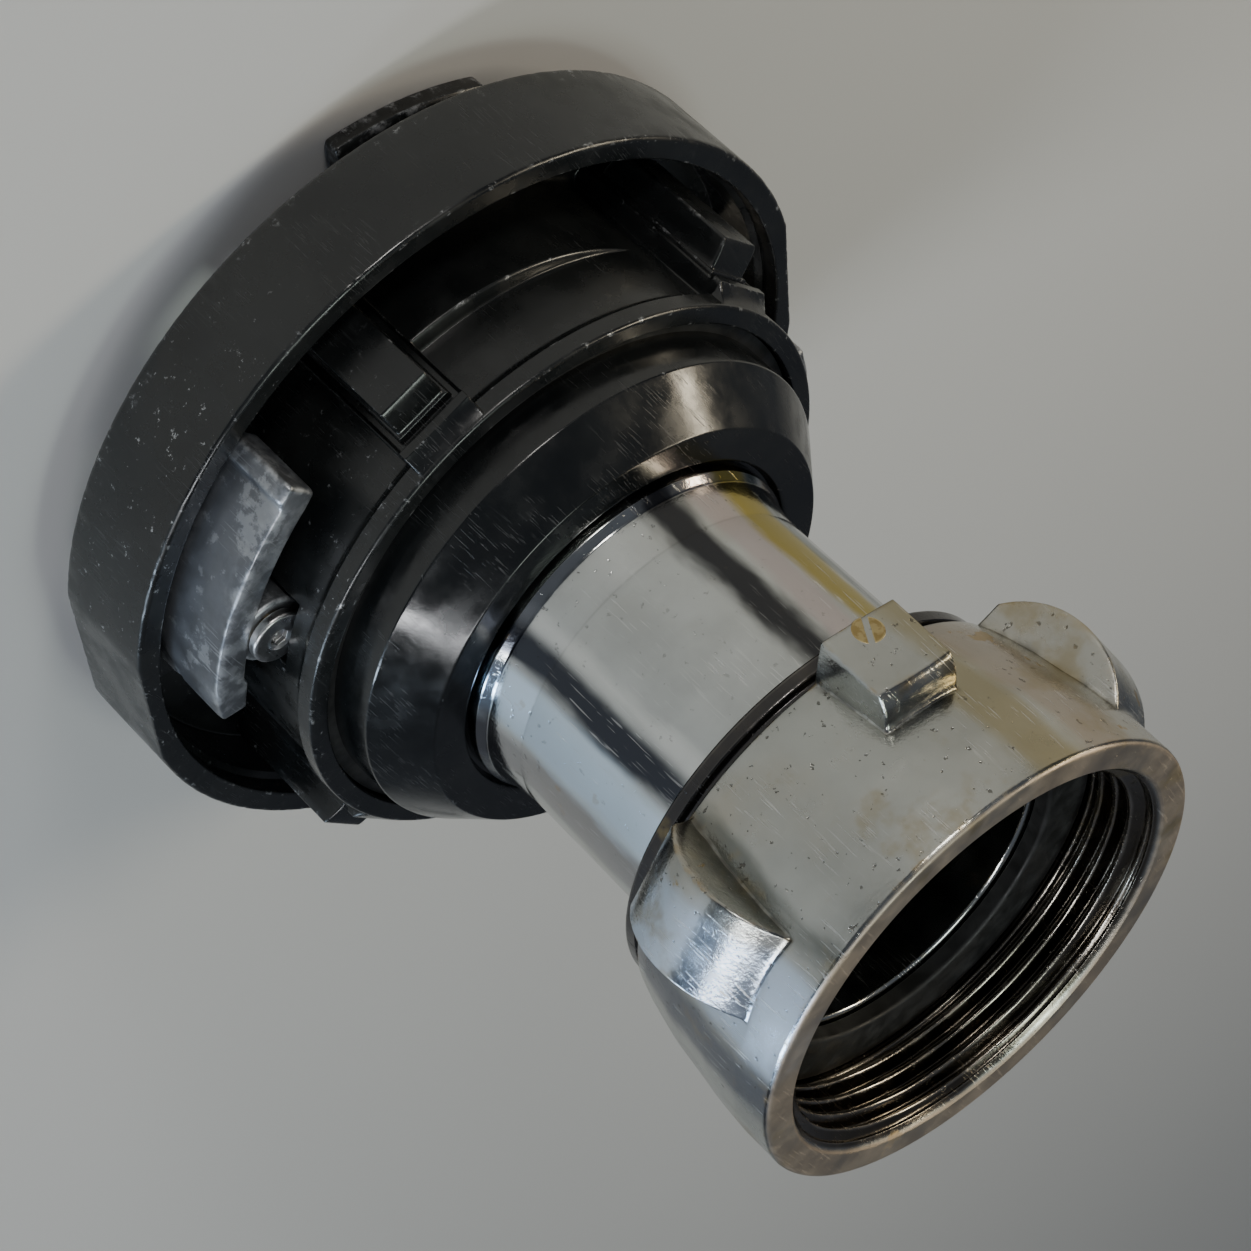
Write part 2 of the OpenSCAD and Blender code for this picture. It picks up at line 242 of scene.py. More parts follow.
def joined(name, *parts):
    """One object made of several closed shells."""
    tool = bmesh.new()
    for part in parts:
        tool.from_mesh(part.data)
    mesh = bpy.data.meshes.new(name)
    tool.to_mesh(mesh)
    tool.free()
    for part in parts:
        bpy.data.objects.remove(part)
    obj = bpy.data.objects.new(name, mesh)
    scene.collection.objects.link(obj)
    return obj


def swept_arc(name, degrees, section, corner=0.8, end=0.8):
    """Curved bar along an arc. section(angle) gives its inner and outer radius and its two heights."""
    reach = math.degrees(end / ARC_BAR_R)
    first, last = degrees[0], degrees[-1]
    ramp = reach * (1 - np.cos(np.linspace(0, math.pi / 2, 6)))
    stations = np.unique(np.round(np.concatenate([first + ramp, degrees, last - ramp]), 4))
    verts, faces = [], []
    arc = np.linspace(0, math.pi / 2, 5)
    for a in stations:
        r0, r1, z0, z1 = section(a)
        depth = min(a - first, last - a) / reach
        inset = end * (1 - math.sqrt(max(0, 1 - (1 - min(depth, 1)) ** 2)))
        r0, r1, z0, z1 = r0 + inset, r1 - inset, z0 + inset, z1 - inset
        c = max(corner - inset * 0.5, 0.15)
        loop = []
        corners = ((r1 - c, z0 + c, -90), (r1 - c, z1 - c, 0), (r0 + c, z1 - c, 90), (r0 + c, z0 + c, 180))
        for corner_r, corner_z, turn in corners:
            for q in arc + math.radians(turn):
                loop.append((corner_r + c * math.cos(q), corner_z + c * math.sin(q)))
        if verts:
            loop = resample(loop, share)
        else:
            loop = subdivide([np.array(p) for p in loop], 1.5)
            shape = len(loop)
            share = fractions(loop)
        t = math.radians(a)
        verts += [(r * math.cos(t) * MM, r * math.sin(t) * MM, z * MM) for r, z in loop]
    for i in range(len(stations) - 1):
        for j in range(shape):
            k = (j + 1) % shape
            faces.append((i * shape + j, i * shape + k, (i + 1) * shape + k, (i + 1) * shape + j))
    faces.append(tuple(range(shape)))
    faces.append(tuple((len(stations) - 1) * shape + j for j in range(shape)))
    return new_object(name, verts, faces)


def fractions(loop):
    """How far round a closed loop each of its points is, from 0 to 1."""
    loop = np.array(loop)
    lengths = np.linalg.norm(np.roll(loop, -1, axis=0) - loop, axis=1)
    return np.concatenate([[0], np.cumsum(lengths)[:-1]]) / lengths.sum()


def resample(loop, share):
    loop = np.array(loop)
    lengths = np.linalg.norm(np.roll(loop, -1, axis=0) - loop, axis=1)
    at = np.concatenate([[0], np.cumsum(lengths)]) / lengths.sum()
    closed = np.vstack([loop, loop[:1]])
    return np.stack([np.interp(share, at, closed[:, k]) for k in (0, 1)], axis=1)


# ----------------------------------------------------------------- materials

class Shade:
    """A Principled material and short ways to wire its nodes."""

    def __init__(self, name, **constants):
        self.material = bpy.data.materials.new(name)
        self.material.use_nodes = True
        self.tree = self.material.node_tree
        self.shader = self.tree.nodes["Principled BSDF"]
        self.place = self.tree.nodes.new("ShaderNodeTexCoord").outputs["Object"]
        for socket, value in constants.items():
            self.shader.inputs[socket.replace("_", " ")].default_value = value

    def add(self, kind, links=(), **settings):
        node = self.tree.nodes.new(kind)
        for key, value in settings.items():
            setattr(node, key, value)
        for socket, value in dict(links).items():
            self.feed(node.inputs[socket], value)
        return node

    def feed(self, socket, value):
        if isinstance(value, bpy.types.NodeSocket):
            self.tree.links.new(value, socket)
        else:
            socket.default_value = value

    def set(self, socket, value):
        self.feed(self.shader.inputs[socket], value)

    def noise(self, scale, detail=4, rough=0.55, stretch=(1, 1, 1), turn=(0, 0, 0)):
        spread = {"Vector": self.place, "Scale": stretch, "Rotation": turn}
        spot = self.add("ShaderNodeMapping", spread).outputs[0]
        links = {"Vector": spot, "Scale": scale, "Detail": detail, "Roughness": rough}
        return self.add("ShaderNodeTexNoise", links).outputs["Fac"]

    def attribute(self, name):
        return self.add("ShaderNodeAttribute", attribute_name=name).outputs["Fac"]

    def math(self, operation, a, b=0.0, clamp=False):
        node = self.add("ShaderNodeMath", operation=operation, use_clamp=clamp)
        self.feed(node.inputs[0], a)
        self.feed(node.inputs[1], b)
        return node.outputs[0]

    def span(self, value, low, high, to_low=0.0, to_high=1.0):
        """A value spread from one range to another, without going past its ends."""
        links = {"Value": value, "From Min": low, "From Max": high, "To Min": to_low, "To Max": to_high}
        return self.add("ShaderNodeMapRange", links, interpolation_type="SMOOTHSTEP").outputs[0]

    def blend(self, share, a, b):
        node = self.add("ShaderNodeMix", data_type="RGBA")
        self.feed(node.inputs[0], share)
        for socket, color in ((node.inputs[6], a), (node.inputs[7], b)):
            self.feed(socket, color if isinstance(color, bpy.types.NodeSocket) else (*color, 1))
        return node.outputs[2]

    def scratches(self, seed, fine):
        """Thin crossing lines, from 0 to 1."""
        lines = 0.0
        for angle in (0.5, 1.4, 2.5):
            turn = (angle + seed, angle * 1.7 + seed, angle * 0.6 - seed)
            thread = self.noise(fine, 2, 0.4, (1, 0.05, 0.05), turn)
            lines = self.math("MAXIMUM", lines, self.span(thread, 0.67, 0.70))
        patch = self.span(self.noise(60, 2), 0.45, 0.62)
        return self.math("MULTIPLY", lines, patch)

    def vector_math(self, operation, output, *values):
        node = self.add("ShaderNodeVectorMath", dict(enumerate(values)), operation=operation)
        return node.outputs[output]

    def flat(self):
        """The place without its height."""
        return self.vector_math("MULTIPLY", "Vector", self.place, (1, 1, 0))

    def facing(self, degrees):
        """Cosine of the angle round the axis between a point and a direction."""
        direction = (math.cos(math.radians(degrees)), math.sin(math.radians(degrees)), 0)
        unit = self.vector_math("NORMALIZE", "Vector", self.flat())
        return self.vector_math("DOT_PRODUCT", "Value", unit, direction)

    def toward(self, degrees, low, high):
        """1 on the side of the object that faces a direction, and 0 on the other."""
        return self.span(self.facing(degrees), low, high)

    def band(self, degrees, half, soft=3.0):
        """1 on a band along the axis, half degrees to each side of a direction, with an uneven border."""
        away = self.math("MULTIPLY", self.math("ARCCOSINE", self.facing(degrees)), 180 / math.pi)
        wander = self.span(self.noise(70, 4, 0.6, (1, 1, 0.35)), 0.2, 0.8, -4.0, 4.0)
        return self.span(self.math("ADD", away, wander), half - soft, half + soft, 1.0, 0.0)

    def radius(self, low, high):
        """0 below one distance from the axis and 1 past another, in mm."""
        return self.span(self.vector_math("LENGTH", "Value", self.flat()), low * MM, high * MM)

    def height(self, low, high):
        """0 below one height and 1 above another, in mm."""
        up = self.add("ShaderNodeSeparateXYZ", {0: self.place}).outputs["Z"]
        return self.span(up, low * MM, high * MM)

    def bump(self, *layers):
        """Bumps from (height, depth in mm) pairs."""
        normal = None
        for value, depth in layers:
            node = self.add("ShaderNodeBump", {"Height": value, "Distance": depth * MM, "Strength": 1.0})
            if normal:
                self.feed(node.inputs["Normal"], normal)
            normal = node.outputs[0]
        self.set("Normal", normal)


SPECKS_DEG = -42             # the side of the head with most white specks


def black_metal(name, roughness, worn, specks=True):
    """Black hard-anodised aluminium, worn white on its edges."""
    s = Shade(name, Metallic=0.0, IOR=1.6)
    cloud = s.noise(45, 5)
    grain = s.noise(2600, 3)
    color = s.blend(s.span(cloud, 0.35, 0.7), (0.004, 0.0048, 0.0052), (0.011, 0.012, 0.012))
    lines = s.scratches(0.3, 4200)
    color = s.blend(s.math("MULTIPLY", lines, 0.07), color, (0.3, 0.31, 0.32))
    chips = s.span(s.noise(330, 5, 0.75), 0.66 - worn * 0.14, 0.70)
    spots = s.math("MULTIPLY", s.span(s.attribute("wear"), 0.25, 0.8), chips)
    if specks:
        side = s.toward(SPECKS_DEG, 0.55, 0.95)
        points = s.span(s.noise(480, 5, 0.8), 0.635, 0.665)
        spots = s.math("MAXIMUM", spots, s.math("MULTIPLY", points, side))
    color = s.blend(spots, color, (0.42, 0.43, 0.44))
    s.set("Base Color", color)
    s.set("Metallic", s.math("MULTIPLY", spots, 0.8))
    rough = s.span(s.noise(130, 4), 0.3, 0.75, roughness - 0.08, roughness + 0.12)
    s.set("Roughness", s.math("ADD", rough, s.math("MULTIPLY", lines, 0.1)))
    s.bump((grain, 0.006), (s.noise(300, 3), 0.02), (lines, -0.008))
    return s.material


# Painted reflections on plated parts, as bright and dark streaks along the axis: direction and half width in
# degrees, colour, strength.
NECK_REFLECTION_BANDS = (
    (-27, 9, (0.26, 0.25, 0.26), 0.7),
    (-47, 11, (0.70, 0.85, 1.0), 0.85),
    (-64, 6, (0.03, 0.035, 0.05), 0.95),
    (-74, 3, (0.85, 0.86, 0.84), 0.6),
    (-125, 7, (0.03, 0.03, 0.035), 0.95),
    (-139, 7, (0.55, 0.45, 0.45), 0.6),
    (-154, 8, (0.45, 0.35, 0.05), 0.9),
    (-166, 4, (0.05, 0.08, 0.07), 0.85),
    (177, 12, (0.22, 0.17, 0.13), 0.8),
)
# Painted reflections on the swivel nut, in the same columns.
NUT_REFLECTION_BANDS = (
    (-50, 11, (0.66, 0.8, 1.0), 0.7),
    (-30, 7, (0.08, 0.09, 0.13), 0.75),
    (-71, 2.5, (0.1, 0.11, 0.1), 0.7),
    (-133, 7, (0.32, 0.26, 0.1), 0.6),
    (-148, 8, (0.42, 0.34, 0.27), 0.6),
    (-165, 5, (0.5, 0.48, 0.42), 0.6),
)
BARE_BRASS = (0.42, 0.30, 0.13)
OCHRE = (0.34, 0.27, 0.13)
CHROME_HOLLOW_DARK = (0.03, 0.026, 0.022)


def plated(name, roughness, pits, brass, tint=(0.62, 0.63, 0.63), reflection_bands=(), mouth=False):
    """Scratched chrome plate, with brass where it has worn through and painted reflections in bands along the
    axis. mouth adds the thread and the nut's ends: the front face and a painted dark reflection round the rear
    end.
    """
    s = Shade(name, Metallic=1.0)
    cloud = s.noise(55, 4)
    color = s.blend(s.span(cloud, 0.35, 0.68), tint, tuple(c * 0.82 for c in tint))
    color = s.blend(s.span(s.noise(28, 3), 0.52, 0.72, 0.0, 0.55), color, (0.55, 0.5, 0.40))
    # Painted reflections: bright and dark bands along the axis, in fixed directions round the part.
    for degrees, half, shade, share in reflection_bands:
        color = s.blend(s.math("MULTIPLY", s.band(degrees, half), share), color, shade)
    lines = s.scratches(1.1, 2600)
    color = s.blend(s.math("MULTIPLY", lines, 0.35), color, (0.9, 0.9, 0.9))
    edge = s.math("MULTIPLY", s.attribute("wear"), s.span(s.noise(260, 4, 0.65), 0.62 - 0.2 * brass, 0.72))
    patches = s.math("MULTIPLY", s.span(s.noise(95, 4, 0.6), 0.66, 0.70), brass)
    bare = s.math("MAXIMUM", edge, patches)
    color = s.blend(bare, color, BARE_BRASS)
    # Darker in hollows, where the surface turns inwards.
    hollow_dark = s.math("MULTIPLY", s.attribute("concavity"), s.span(s.noise(300, 3), 0.3, 0.6))
    color = s.blend(s.math("MULTIPLY", hollow_dark, 0.85), color, CHROME_HOLLOW_DARK)
    hole = s.span(s.noise(620, 3, 0.6), 0.655, 0.70)
    color = s.blend(s.math("MULTIPLY", hole, pits), color, (0.09, 0.08, 0.07))
    rough = s.span(s.noise(160, 5), 0.3, 0.75, roughness * 0.7, roughness * 1.5)
    rough = s.math("ADD", rough, s.math("MULTIPLY", lines, 0.12))
    if mouth:
        crest = s.span(s.attribute("wear"), 0.2, 0.7)
        thread = s.blend(s.math("MULTIPLY", crest, 0.6), (0.12, 0.105, 0.085), (0.5, 0.46, 0.4))
        color = s.blend(s.math("SUBTRACT", 1.0, s.radius(MAJOR + 0.3, MAJOR + 0.8)), color, thread)
        face = s.height(MOUTH - 0.8, MOUTH - 0.2)
        face = s.math("MULTIPLY", face, s.span(s.noise(60, 4), 0.25, 0.6, 0.55, 0.95))
        color = s.blend(face, color, (0.46, 0.38, 0.30))
        rough = s.math("ADD", rough, s.math("MULTIPLY", face, 0.35))
        # Painted reflection: a dark band round the nut's rear end.
        rear_dark_reflection = s.math("SUBTRACT", 1.0, s.height(NUT_BASE + 4.1, NUT_BASE + 5.9))
        rear_dark_reflection = s.math("MULTIPLY", rear_dark_reflection, s.span(s.noise(50, 4), 0.3, 0.6, 0.45, 0.9))
        color = s.blend(rear_dark_reflection, color, (0.05, 0.05, 0.055))
        stain = s.math("MULTIPLY", s.span(s.noise(42, 5, 0.6), 0.56, 0.66), 0.55)
        color = s.blend(stain, color, OCHRE)
    s.set("Base Color", color)
    s.set("Roughness", s.math("ADD", rough, s.math("MULTIPLY", bare, 0.15), clamp=True))
    s.bump((s.noise(1500, 4), 0.012 * (1 + 3 * pits)), (s.noise(170, 3), 0.10 * pits + 0.015),
           (s.math("MULTIPLY", hole, pits), -0.08), (lines, -0.02))
    return s.material


def simple_metal(name, color, worn_color, roughness, scale=240, metallic=1.0, grain=0.02):
    """Bare metal with clouds, scuffs, scratches and pale edges."""
    s = Shade(name, Metallic=metallic)
    cloud = s.span(s.noise(scale * 0.35, 5, 0.65), 0.35, 0.68)
    mixed = s.blend(cloud, color, tuple(c * 0.72 for c in color))
    lines = s.scratches(2.2, 2400)
    mixed = s.blend(s.math("MULTIPLY", lines, 0.4), mixed, worn_color)
    scuff = s.span(s.noise(scale * 0.55, 6, 0.7), 0.54, 0.6, 0.0, 0.45)
    mixed = s.blend(scuff, mixed, worn_color)
    edge = s.math("MULTIPLY", s.attribute("wear"), s.span(s.noise(scale * 1.6, 4), 0.4, 0.62))
    s.set("Base Color", s.blend(edge, mixed, worn_color))
    s.set("Roughness", s.span(s.noise(scale, 5), 0.3, 0.75, roughness * 0.8, roughness * 1.3))
    s.bump((s.noise(scale * 8, 4), grain), (lines, -0.03))
    return s.material


def rubber(name, color=(0.012, 0.012, 0.012)):
    s = Shade(name, Roughness=0.55)
    dusty = tuple(c * 2.4 for c in color)
    s.set("Base Color", s.blend(s.span(s.noise(200, 4), 0.4, 0.7), color, dusty))
    s.set("Roughness", s.span(s.noise(350, 4), 0.3, 0.7, 0.4, 0.68))
    s.bump((s.noise(2400, 3), 0.02))
    return s.material


def paint(obj, material):
    obj.data.materials.clear()
    obj.data.materials.append(material)


# ------------------------------------------------------------------- camera

IMAGE_PX = 1251
FOCAL_PX = 4000
PX_PER_MM = 6.25             # scale of the picture at the mouth's distance
TILT = math.radians(118)     # from straight up to the way the camera looks
ROLL = math.radians(43.6)
MOUTH_RIGHT = 57.04          # mm from the middle of the picture to the middle of the mouth
MOUTH_DOWN = 54.32
SENSOR_MM = 36


def make_camera():
    """Adds the camera and returns its directions."""
    ahead = Vector((0, math.sin(TILT), math.cos(TILT)))
    right = Vector((-math.sin(ROLL), -math.cos(TILT) * math.cos(ROLL), math.sin(TILT) * math.cos(ROLL)))
    down = ahead.cross(right)
    mouth = Vector((0, 0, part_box("swivel_nut")[1].z))
    place = mouth - (FOCAL_PX / PX_PER_MM * ahead + MOUTH_RIGHT * right + MOUTH_DOWN * down) * MM
    data = bpy.data.cameras.new("camera")
    data.sensor_width = SENSOR_MM
    data.lens = SENSOR_MM * FOCAL_PX / IMAGE_PX
    data.clip_start = 0.05
    camera = bpy.data.objects.new("camera", data)
    turn = Matrix((right, -down, -ahead)).transposed().to_4x4()
    camera.matrix_world = Matrix.Translation(place) @ turn
    scene.collection.objects.link(camera)
    scene.camera = camera
    return ahead, right, down


# --------------------------------------------------------------------- stage

LIGHT_AIM = Vector((0, 0, 0.07))
FLOOR_REACH = 4.0


def area_light(name, toward, distance, size, power, color=(1, 1, 1)):
    """Rectangular light in metres and watts, aimed at the middle of the object."""
    data = bpy.data.lights.new(name, "AREA")
    data.shape = "RECTANGLE"
    data.size, data.size_y = size
    data.energy = power
    data.color = color
    light = bpy.data.objects.new(name, data)
    light.location = LIGHT_AIM + toward.normalized() * distance
    light.rotation_euler = (LIGHT_AIM - light.location).to_track_quat("-Z", "Y").to_euler()
    scene.collection.objects.link(light)


def make_stage(ahead, right, down):
    signs = ((-1, -1), (1, -1), (1, 1), (-1, 1))
    corners = [(x * FLOOR_REACH, y * FLOOR_REACH, cad_box[0][2]) for x, y in signs]
    mesh = bpy.data.meshes.new("floor")
    mesh.from_pydata(corners, [], [(0, 1, 2, 3)])
    floor = bpy.data.objects.new("floor", mesh)
    scene.collection.objects.link(floor)
    s = Shade("floor_pale", Roughness=0.8)
    s.set("Base Color", s.blend(s.noise(3, 2), (0.56, 0.555, 0.55), (0.6, 0.595, 0.59)))
    paint(floor, s.material)
    world = bpy.data.worlds.new("studio")
    world.use_nodes = True
    world.node_tree.nodes["Background"].inputs["Color"].default_value = (0.78, 0.85, 1.0, 1)
    world.node_tree.nodes["Background"].inputs["Strength"].default_value = 0.12
    scene.world = world
    up = -down
    area_light("key", up * 0.95 - ahead * 0.35 + right * 0.1, 0.75, (0.5, 0.16), 7)
    area_light("front", right * 0.15 - ahead * 1.0 + up * 0.5, 0.9, (0.16, 0.16), 2.0, (1, 0.97, 0.92))
    area_light("warm", right * 0.95 - ahead * 0.2 + up * 0.25, 0.8, (0.09, 0.45), 2.6, (1, 0.88, 0.66))
    area_light("cool", -right * 0.9 - ahead * 0.15 + down * 0.75, 0.75, (0.1, 0.6), 3.6, (0.66, 0.82, 1))
    area_light("top", Vector((0, 0, 1)) - ahead * 0.25, 1.0, (0.3, 0.3), 2.2, (0.88, 1, 0.9))
    area_light("low", -right * 0.2 - ahead * 0.75 + down * 0.9, 0.8, (0.07, 0.5), 2.2, (0.95, 0.97, 1))


# --------------------------------------------------------------- head (collar)

# Names that end in _R are radii and those that end in _DEG are directions. CLAW_HALF, SLOT_PLAY and
# SLOT_RUN are degrees, and all the other sizes are mm.
RIM_R, RIM_IN, RIM_STEP_R, RIM_W = 73, 67.5, 68.5, 21.4
RIM_STEP_TOP, RIM_STEP_BASE = 17.4, 16.4
WEB, HUB_R, LIP_R, LIP_BASE, LIP_TOP = 6, 54, 55.5, 42, 45.6
WEB_IN, WEB_OUT = 55.6, 66.9                     # radii between which the web's back makes way for the hub
BORE_R, FRONT_BORE_R, REAR_BORE_R = 45, 51.2, 51.8
FRONT_FLOOR, REAR_FLOOR = 7.1, 38
SLOT_IN, SLOT_MID, SLOT_OUT = 56.8, 63.2, 66.8
SLOT_ROWS = (SLOT_IN, 58.4, 60, 61.6, SLOT_MID, 65, SLOT_OUT)
SLOT_PLAY, SLOT_RUN = 4, 36                      # how far a slot reaches past its claw, and its narrow run
LUGS = (-92, -162)
LUG_HALF, LUG_R, LUG_BASE, LUG_TOP = 5, 63.5, 8, 38.5
MOAT_DEPTH = 1.5
PAD_HALF, PAD_R, PAD_TOP = 7.25, 57.8, 43.2
RIB_TOP, RIB_CIRCLE, RIB_SHIFT = 27, 49.2, 7.8    # crescent rib: part of a circle set off the axis
PIVOT_DEG, PIVOT_R = -43, 55.8
LEDGE_R, LEDGE_TOP, LEDGE_DEG, LEDGE_HALF = 59.3, 26.5, -38.25, 9.5
POCKET_R, POCKET_TOP = 7.2, 36.4
FLAT_DEG, FLAT_R = -22, 71.7
CLAW_DEG, CLAW_HALF, CLAW_IN, CLAW_OUT, CLAW_REACH, HOOK = -125, 14, 57.5, 66, 10.3, 4
SHANK_T, SHANK_ROOT = 5, 2.0
SLOT_DEG = CLAW_DEG + 90
HALF_TURNS = (0, 180)
NICK = 0.10


def hub_features(r, z, t):
    """Radius of the hub's wall with its lugs, rib, ledges and the pockets for the levers' pivots."""
    for turn in HALF_TURNS:
        for lug in LUGS:
            pad = block(t, z, lug + turn, PAD_HALF, PAD_R, -9, PAD_TOP, HUB_R, draft=6, edge=0.9)
            side = np.abs(r * np.sin(off(t, lug + turn))) - LUG_HALF
            away = np.maximum(side, z - LUG_TOP)
            moat = smooth_step(away, 0.0, 0.45) * (1 - smooth_step(away, 1.3, 1.9))
            r = smax(r, pad - MOAT_DEPTH * moat, 0.6)
            bar = block(t, z, lug + turn, LUG_HALF, LUG_R, LUG_BASE, LUG_TOP, HUB_R, draft=7, edge=1.5)
            r = smax(r, bar, 0.8)
        a = off(t, LUGS[0] - 7 + turn)
        rib = RIB_SHIFT * np.cos(a) + np.sqrt(RIB_CIRCLE ** 2 - (RIB_SHIFT * np.sin(a)) ** 2)
        rib = np.where((a < 0) & (a > -1.0), smin(rib, HUB_R + (RIB_TOP - z) * 5, 2.0), 0)
        r = smax(r, rib, 0.5)
        ledge = block(t, z, LEDGE_DEG + turn, LEDGE_HALF, LEDGE_R, -9, LEDGE_TOP, HUB_R, draft=9, edge=0.7)
        r = smax(r, ledge, 0.5)
        a = off(t, PIVOT_DEG + turn)
        inside = POCKET_R ** 2 - (PIVOT_R * np.sin(a)) ** 2
        pocket_floor = PIVOT_R * np.cos(a) - np.sqrt(np.maximum(inside, 0))
        in_pocket = (inside > 0) & (np.abs(a) < 0.3) & (z > LEDGE_TOP) & (z < POCKET_TOP)
        r = np.where(in_pocket, np.minimum(r, pocket_floor), r)
    return r


def head_move(r, z, t):
    """Raises the hub's features, shifts the web's back to meet them, and cuts the rim's flats and nicks."""
    on_hub = (r > HUB_R - 0.4) & (r < HUB_R + 2.2) & (z > WEB + 0.01) & (z < LIP_TOP - 0.2)
    foot = hub_features(np.full_like(r, HUB_R), np.full_like(z, WEB + 0.6), t)
    first = np.maximum(foot + 0.35, WEB_IN)
    on_web = (np.abs(z - WEB) < 0.01) & (r > WEB_IN + 0.3) & (r < WEB_OUT)
    pushed = first + (r - WEB_IN) * (WEB_OUT - first) / (WEB_OUT - WEB_IN)
    moved = np.where(on_hub, np.maximum(hub_features(r, z, t), HUB_R - 10), np.where(on_web, pushed, r))
    for turn in HALF_TURNS:
        away = off(t, FLAT_DEG + turn)
        flat = FLAT_R / np.maximum(np.cos(away), 0.2)
        on_flat = (np.abs(away) < 0.5) & (r > FLAT_R - 0.7)
        moved = np.where(on_flat, moved + np.minimum(flat - RIM_R, 0), moved)
    nicks = NICK * np.sin(t * 37 + z) * np.sin(t * 91 + 2) * np.sin(t * 53 - z * 0.7)
    on_edge = (r > RIM_R - 1.2) & ((z < 1.2) | (z > RIM_W - 1.2))
    return np.where(on_edge, moved - np.abs(nicks), moved), z


def slot_cells(loop, angles):
    """Cells of the front face and the web's back that the two kidney slots take, each with its opposite."""
    deg = np.degrees(angles)
    front = [i for i in range(len(loop)) if abs(loop[i][1]) < 1e-6]
    back = [i for i in range(len(loop)) if abs(loop[i][1] - WEB) < 1e-6]
    opposite = {}
    for i in front:
        match = [b for b in back if abs(loop[b][0] - loop[(i + 1) % len(loop)][0]) < 1e-6]
        if match and abs(loop[(match[0] + 1) % len(loop)][0] - loop[i][0]) < 1e-6:
            opposite[i] = match[0]
    cut = {}
    for j in range(len(deg)):
        middle = (deg[j] + ((deg[(j + 1) % len(deg)] - deg[j]) % 360) / 2)
        away = (middle - SLOT_DEG + 90) % 180 - 90
        for i, other in opposite.items():
            r = (loop[i][0] + loop[(i + 1) % len(loop)][0]) / 2
            wide = abs(away) < CLAW_HALF + SLOT_PLAY and SLOT_IN < r < SLOT_OUT
            narrow = -CLAW_HALF - SLOT_RUN < away < 0 and SLOT_IN < r < SLOT_MID
            if wide or narrow:
                cut[(i, j)] = (other, j)
                cut[(other, j)] = (i, j)
    return cut


def hub_rows():
    """Heights of the hub's rows of points, closer together where a feature ends."""
    top = LIP_BASE - 1.6
    heights = set(np.round(np.arange(8.4, top, 0.4), 3))
    for z in (LUG_BASE, LEDGE_TOP, RIB_TOP, POCKET_TOP, LUG_TOP):
        heights |= set(np.round(np.arange(max(8.3, z - 1.3), min(z + 1.3, top), 0.13), 3))
    rows = []
    for z in sorted(heights):
        if not rows or z - rows[-1] > 0.06:
            rows.append(z)
    return rows


def head_outline():
    rim = fillet_loop([
        (BORE_R, 0.001, 0), (FRONT_BORE_R, 0, 0.4), (RIM_R, 0, 1.1), (RIM_R, RIM_W, 0.9),
        (RIM_STEP_R, RIM_W, 0.45), (RIM_STEP_R, RIM_STEP_TOP, 0.1), (RIM_IN, RIM_STEP_BASE, 0.1),
        (RIM_IN, WEB, 0.3)])
    points = [p for p in rim[1:] if p[1] > 0.0005 or p[0] < 56 or p[0] > 67]
    at = next(i for i, p in enumerate(points) if p[0] > 67)
    points[at:at] = [np.array([r, 0.0]) for r in SLOT_ROWS]
    points += [np.array([r, float(WEB)]) for r in reversed(SLOT_ROWS)]
    root = fillet_loop([(60, WEB, 0), (HUB_R, WEB, 2.0), (HUB_R, 30, 0)])
    points += [p for p in root[1:] if p[1] < 9 and p[0] < 56.5]
    points += [np.array([float(HUB_R), z]) for z in hub_rows()]
    lip = fillet_loop([
        (HUB_R, 36, 0), (HUB_R, LIP_BASE - 1.5, 0.8), (LIP_R, LIP_BASE, 0.3), (LIP_R, LIP_TOP, 0.7),
        (REAR_BORE_R, LIP_TOP, 0.35), (REAR_BORE_R, REAR_FLOOR, 0.1), (BORE_R, REAR_FLOOR, 0.15),
        (BORE_R, FRONT_FLOOR, 0.15), (FRONT_BORE_R, FRONT_FLOOR, 0.1), (FRONT_BORE_R, 1, 0)])
    points += [p for p in lip[1:-1] if p[1] > LIP_BASE - 1.6 or p[0] < 53]
    return subdivide(points, 3.2)


def arc_edges():
    """Where head columns stand closer together: beside the edges of its features."""
    dense = []
    for turn in HALF_TURNS:
        for lug in LUGS:
            for side in (-1, 1):
                dense.append((lug + turn + side * math.degrees(PAD_HALF / 56), 1.0, 0.14))
                dense.append((lug + turn + side * math.degrees(LUG_HALF / 59), 1.3, 0.14))
        for side in (-1, 1):
            dense.append((LEDGE_DEG + turn + side * math.degrees(LEDGE_HALF / 57), 0.8, 0.2))
            dense.append((PIVOT_DEG + turn + side * math.degrees(POCKET_R / 56), 0.8, 0.2))
        for stop in (-CLAW_HALF - SLOT_RUN, -CLAW_HALF - SLOT_PLAY, CLAW_HALF + SLOT_PLAY, 0):
            dense.append((SLOT_DEG + stop + turn + 0.2, 0.2, 0.2))
    return dense


def claw(name, turn):
    """Hooked claw: a shank with an outward hook at its end."""
    mid = CLAW_DEG + turn
    span = np.arange(mid - CLAW_HALF, mid + CLAW_HALF + 0.01, 1.0)
    shank_section = (CLAW_IN, CLAW_IN + SHANK_T, -CLAW_REACH + 0.4, SHANK_ROOT)
    hook_section = (CLAW_IN, CLAW_OUT, -CLAW_REACH, HOOK - CLAW_REACH)
    shank = swept_arc("shank", span, lambda a: shank_section, 0.5, 0.5)
    hook = swept_arc("hook", span, lambda a: hook_section, 0.9, 0.8)
    return joined(name, shank, hook)


